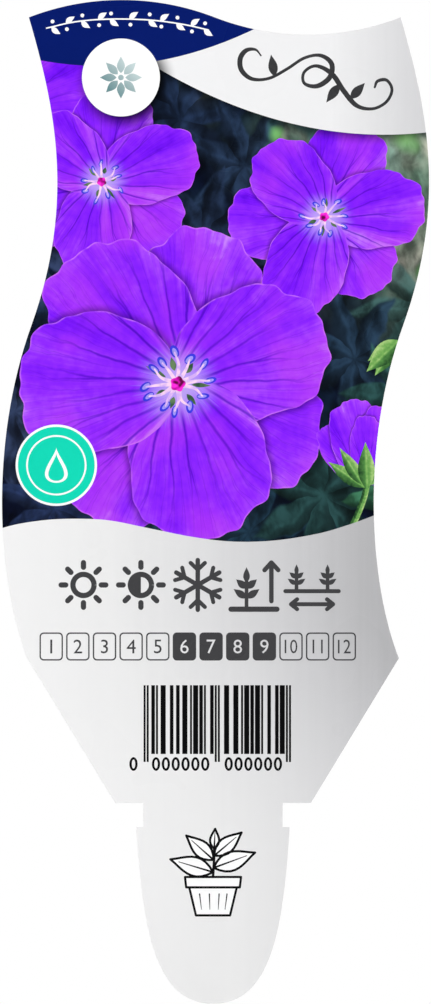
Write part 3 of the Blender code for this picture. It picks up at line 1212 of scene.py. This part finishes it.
flowering_strip = new_film("flowering_strip", care_signs.data.materials[0])
strip_pitch = (STRIP_RIGHT - STRIP_LEFT + STRIP_GAP) / 12
for month in range(1, 13):
    left = STRIP_LEFT + strip_pitch * (month - 1)
    right = left + strip_pitch - STRIP_GAP
    outer = box_outline(left, right, STRIP_BOTTOM, STRIP_TOP, STRIP_CORNER)
    inner_sides = (left + STRIP_LINE, right - STRIP_LINE, STRIP_BOTTOM + STRIP_LINE, STRIP_TOP - STRIP_LINE)
    inner = [] if month in FLOWERING else [box_outline(*inner_sides, STRIP_INNER_CORNER)]
    middle = Vector(((left + right) / 2, (STRIP_BOTTOM + STRIP_TOP) / 2))
    narrowed = TWO_FIGURES_NARROWED if month > 9 else 1.0
    figure = [
        [Vector((spot.x * narrowed, spot.y)) + middle for spot in loop]
        for loop in figures(str(month), FIGURE_HEIGHT)
    ]
    lay(flowering_strip, [outer, *inner, *figure], odd=True)

# Bars.
# A block of black bars with three pairs of longer guards. The widths are chance and say
# nothing, and the figures below are all noughts.
BARS_LEFT, BARS_RIGHT = -11.8, 13.27
BARS_TOP, BARS_BOTTOM, GUARD_BOTTOM = 20.1, 8.36, 7.0
BAR_MODULES = 95
GUARD_MODULES = (0, 2, 46, 48, 92, 94)
BLOCK_MODULES = ((3, 45), (50, 92))
INK_SPREAD = 0.045
NOUGHT_SIZE = (1.42, 2.35)
NOUGHT_LINE = 0.42
NOUGHT_MIDDLE = 6.65
NOUGHT_PITCH = 1.68
LONE_NOUGHT = -13.56
NOUGHT_ROWS = (-9.72, 2.68)
bars = new_film("bars", new_finish("black ink", shown(4, 4, 6), mottle=0.10))
chance = random.Random(41)
module = (BARS_RIGHT - BARS_LEFT) / BAR_MODULES
bar_runs = [(start, 1, GUARD_BOTTOM) for start in GUARD_MODULES]
for block_start, block_end in BLOCK_MODULES:
    start = block_start + chance.choice((1, 2))
    while start < block_end:
        breadth = chance.choice((1, 1, 2, 2, 3, 3))
        bar_runs.append((start, min(breadth, block_end - start), BARS_BOTTOM))
        start += breadth + chance.choice((1, 1, 1, 2, 2, 3))
for start, breadth, bottom in bar_runs:
    left = BARS_LEFT + start * module
    right = left + breadth * module
    lay(bars, [box_outline(left - INK_SPREAD, right + INK_SPREAD, bottom, BARS_TOP)])
nought = [
    [Vector((spot.x * breadth, spot.y * height)) for spot in circle((0, 0), 0.5, 32)]
    for breadth, height in (NOUGHT_SIZE, [length - 2 * NOUGHT_LINE for length in NOUGHT_SIZE])
]
nought_places = [first_x + NOUGHT_PITCH * number for first_x in NOUGHT_ROWS for number in range(6)]
for x in (LONE_NOUGHT, *nought_places):
    lay(bars, placed(nought, (x, NOUGHT_MIDDLE)), odd=True)

# Pot sketch.
# On the tongue is a small line sketch of a sprig in a pot, in black with a white body.
SKETCH_MIDDLE = (0.0, -12.0)
SKETCH_SIZE = 1.04
SKETCH_LINE = 0.38
SKETCH_STEM = [(0.0, -0.6), (0.15, 1.8), (0.2, 4.0)]
SKETCH_STEM_LINE = 0.42
SKETCH_RIB_LINE = [0.34, 0.12]
SKETCH_FLUTES = (-2.2, -0.6, 1.0, 2.3)
SKETCH_FLUTE_LINE = [0.22, 0.1]
POT_RIM = [(-4.6, -0.6), (4.6, -0.6), (4.4, -2.3), (-4.4, -2.3)]
POT_BODY = [(-3.9, -2.3), (3.9, -2.3), (2.8, -6.9), (-2.8, -6.9)]
SPRIG_LEAVES = [
    # base, tip, breadth
    ((0.0, 0.2), (-7.0, 2.3), 3.1),
    ((0.1, 0.9), (6.9, 3.4), 3.1),
    ((0.1, 2.2), (-4.4, 6.2), 2.6),
    ((0.2, 2.9), (4.7, 6.7), 2.5),
    ((0.2, 4.0), (0.35, 7.3), 1.5),
]
sketch_white = new_film("sketch_white", bare_white)
sketch_lines = new_film("sketch_lines", bars.data.materials[0])
sketch_body = [[Vector(spot) for spot in shape] for shape in (POT_RIM, POT_BODY)]
sketch_body += [leaf(*given) for given in SPRIG_LEAVES]
lay(sketch_white, placed(sketch_body, SKETCH_MIDDLE, 0.0, SKETCH_SIZE))
drawn = []
for shape in sketch_body:
    drawn += pen([*shape, shape[0]], SKETCH_LINE)
drawn += stroke(smooth_line(SKETCH_STEM), SKETCH_STEM_LINE)
for base, end, _ in SPRIG_LEAVES:
    drawn += stroke([Vector(base), Vector(base).lerp(Vector(end), 0.8)], SKETCH_RIB_LINE)
for x in SKETCH_FLUTES:
    drawn += stroke([(x, -3.4), (x * 0.86, -5.9)], SKETCH_FLUTE_LINE)
lay(sketch_lines, placed(drawn, SKETCH_MIDDLE, 0.0, SKETCH_SIZE))

# Printing.
# All the inks lie side by side in one thin film, because the top one at each place hides the
# rest. The film is cut along every outline, and each area goes to the piece whose ink it is.
JOIN_DISTANCE = 0.002
FAR_OFF = (9.0, 9.0)
film_corners = []
film_cuts = []
for loop in [print_edge, *(loop for ink in inks for loop in ink[1])]:
    first = len(film_corners)
    film_corners.extend(loop)
    film_cuts.extend((first + step, first + (step + 1) % len(loop)) for step in range(len(loop)))
cut_corners, _, triangles, *_ = delaunay_2d_cdt(film_corners, film_cuts, [], 0, JOIN_DISTANCE)
middles = np.array(cut_corners)[np.array(triangles)].mean(axis=1)


def held_in(loop):
    """Which triangles have their middles inside a loop."""
    held = np.zeros(len(middles), bool)
    low, high = np.min(loop, axis=0), np.max(loop, axis=0)
    near = np.flatnonzero(((middles >= low) & (middles <= high)).all(axis=1))
    x, z = middles[near].T
    inside = np.zeros(len(near), bool)
    for (x1, z1), (x2, z2) in zip(loop, [*loop[1:], loop[0]]):
        if z1 != z2:
            inside ^= ((z1 > z) != (z2 > z)) & (x < x1 + (z - z1) / (z2 - z1) * (x2 - x1))
    held[near] = inside
    return held


top_ink = np.full(len(middles), -1)
for number, (_, outlines, odd, _) in enumerate(inks):
    held = [held_in(loop) for loop in outlines]
    top_ink[np.logical_xor.reduce(held) if odd else np.logical_or.reduce(held)] = number
top_ink[~held_in(print_edge)] = -1

for film in dict.fromkeys(ink[0] for ink in inks):
    bm = bmesh.new()
    ink_number = bm.faces.layers.int.new("ink")
    corner_here = {}
    for number, ink in enumerate(inks):
        if ink[0] is not film:
            continue
        for triangle in [triangles[row] for row in np.flatnonzero(top_ink == number)]:
            for corner in triangle:
                if corner not in corner_here:
                    x, z = cut_corners[corner]
                    corner_here[corner] = bm.verts.new((x, front_y, z))
            bm.faces.new([corner_here[corner] for corner in triangle])[ink_number] = number
    thicken(bm, bm.faces[:], PRINT_THICKNESS)
    map_names = sorted({name for ink in inks if ink[0] is film for name in ink[3]})
    map_layers = {name: bm.loops.layers.uv.new(name) for name in map_names}
    for face in bm.faces:
        maps = inks[face[ink_number]][3]
        for name, layer in map_layers.items():
            given = maps.get(name, FAR_OFF)
            for loop in face.loops:
                spot = Vector((loop.vert.co.x, loop.vert.co.z))
                loop[layer].uv = given[0] @ (spot - given[1]) if isinstance(given[0], Matrix) else given
    bm.faces.layers.int.remove(ink_number)
    to_metres(bm, film.data)
